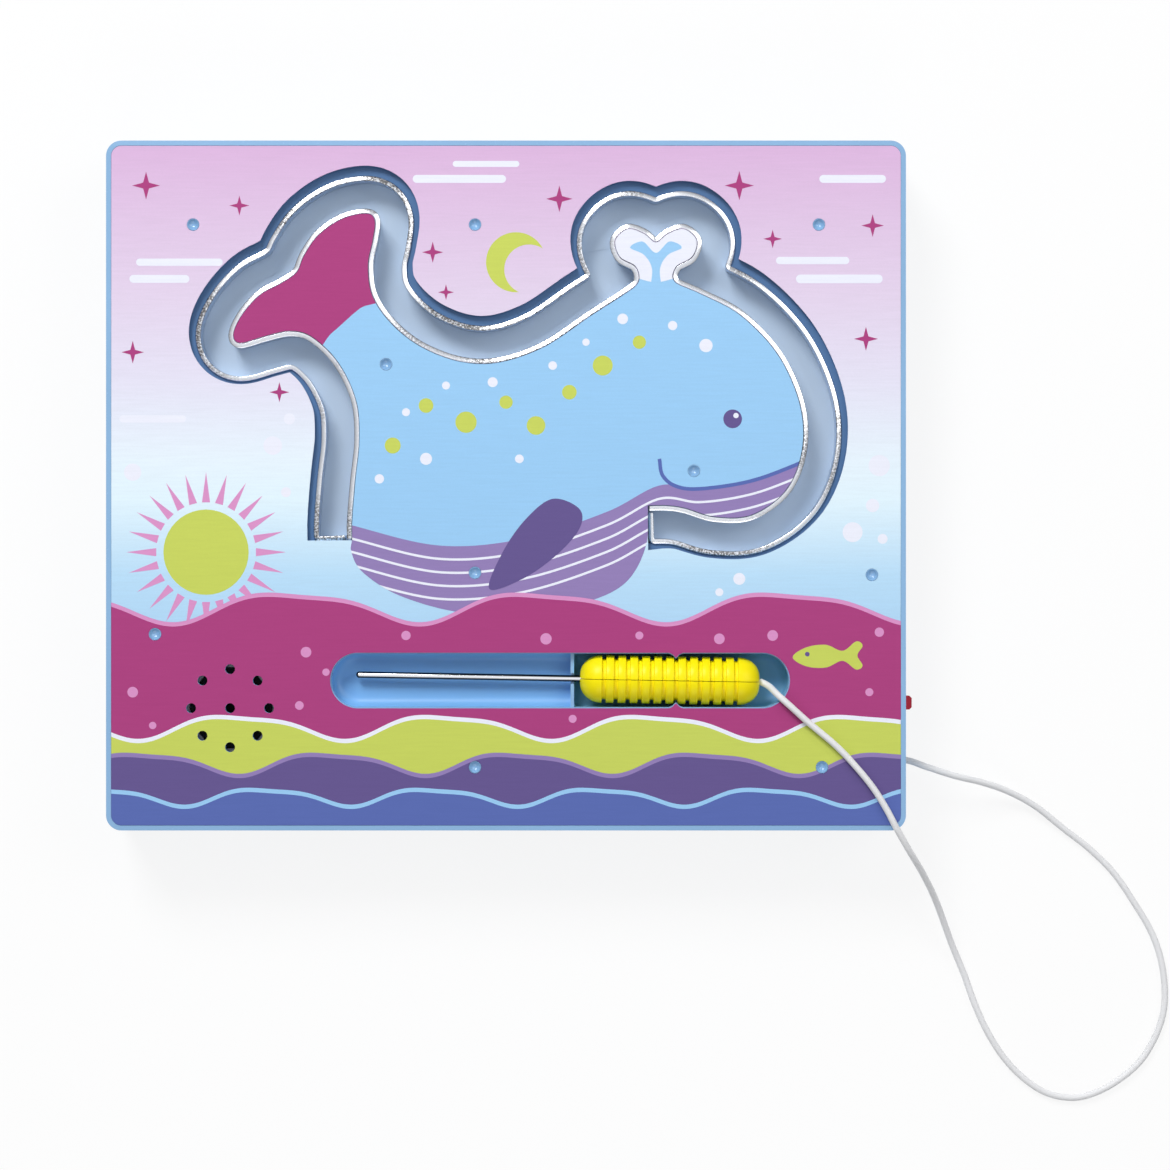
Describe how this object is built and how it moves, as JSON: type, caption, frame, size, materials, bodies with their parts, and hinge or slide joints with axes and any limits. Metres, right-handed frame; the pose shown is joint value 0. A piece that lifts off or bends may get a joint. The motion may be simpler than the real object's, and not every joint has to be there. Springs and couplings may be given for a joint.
{
  "type": "steady-hand track game",
  "caption": "Flat battery-powered game case with a winding metal-lined groove in its printed face, a corded steel-tipped stylus in a tray, a speaker and a slide switch.",
  "frame": {"origin": "centre of the flat back face, on the surface that the game lies on", "axes": "+X to the right of the face, +Y towards the top edge of the face, +Z out of the face"},
  "size_m": [0.3237, 0.2925, 0.0316],
  "materials": {
    "blue_plastic": "satin moulded",
    "printed_film": "printed, satin",
    "track_metal": "satin",
    "bright_steel": "polished",
    "screw_steel": "plated",
    "dark_steel": "blackened",
    "black_paper": "matte",
    "yellow_plastic": "satin moulded",
    "red_plastic": "satin moulded",
    "black_plastic": "matte",
    "board_green": "coated",
    "cell_wrap": "film wrapped",
    "white_cord": "smooth jacket",
    "red_wire": "smooth jacket",
    "black_wire": "smooth jacket"
  },
  "bodies": {
    "case": {"front_cover": "blue_plastic", "rear_cover": "blue_plastic", "printed_sheet": "printed_film", "track_floor_1": "track_metal", "track_floor_2": "track_metal", "inner_contact_strip": "bright_steel", "outer_contact_strip": "bright_steel", "cell_contact_1": "bright_steel", "cell_contact_2": "bright_steel", "cell_bridge_contact": "bright_steel", "slide_switch_body": "bright_steel", "cord_stop": "bright_steel", "case_screw_1": "screw_steel", "case_screw_2": "screw_steel", "case_screw_3": "screw_steel", "case_screw_4": "screw_steel", "case_screw_5": "screw_steel", "case_screw_6": "screw_steel", "case_screw_7": "screw_steel", "case_screw_8": "screw_steel", "case_screw_9": "screw_steel", "case_screw_10": "screw_steel", "board_screw_1": "screw_steel", "board_screw_2": "screw_steel", "speaker_frame": "dark_steel", "speaker_magnet": "dark_steel", "speaker_cone": "black_paper", "sound_chip": "black_plastic", "capacitor": "black_plastic", "circuit_board": "board_green", "cell_1": "cell_wrap", "cell_2": "cell_wrap", "stylus_cord": "white_cord", "battery_wire_positive": "red_wire", "speaker_wire_1": "red_wire", "track_wire": "red_wire", "battery_wire_negative": "black_wire", "speaker_wire_2": "black_wire", "cord_wire": "black_wire"},
    "stylus": {"stylus_rod": "bright_steel", "handle_upper_half": "yellow_plastic", "handle_lower_half": "yellow_plastic"},
    "switch_knob": {"slide_switch_knob": "red_plastic"},
    "battery_door": {"battery_door": "blue_plastic", "battery_door_screw": "screw_steel"}
  },
  "joints": [
    {"name": "stylus_lift", "type": "slide", "parent": "case", "child": "stylus", "axis": [0, 0, 1], "range_m": [0, 0.04]},
    {"name": "switch_slide", "type": "slide", "parent": "case", "child": "switch_knob", "axis": [0, 1, 0], "range_m": [0, 0.003]},
    {"name": "battery_door_off", "type": "slide", "parent": "case", "child": "battery_door", "axis": [0, 0, -1], "range_m": [0, 0.03]}
  ]
}
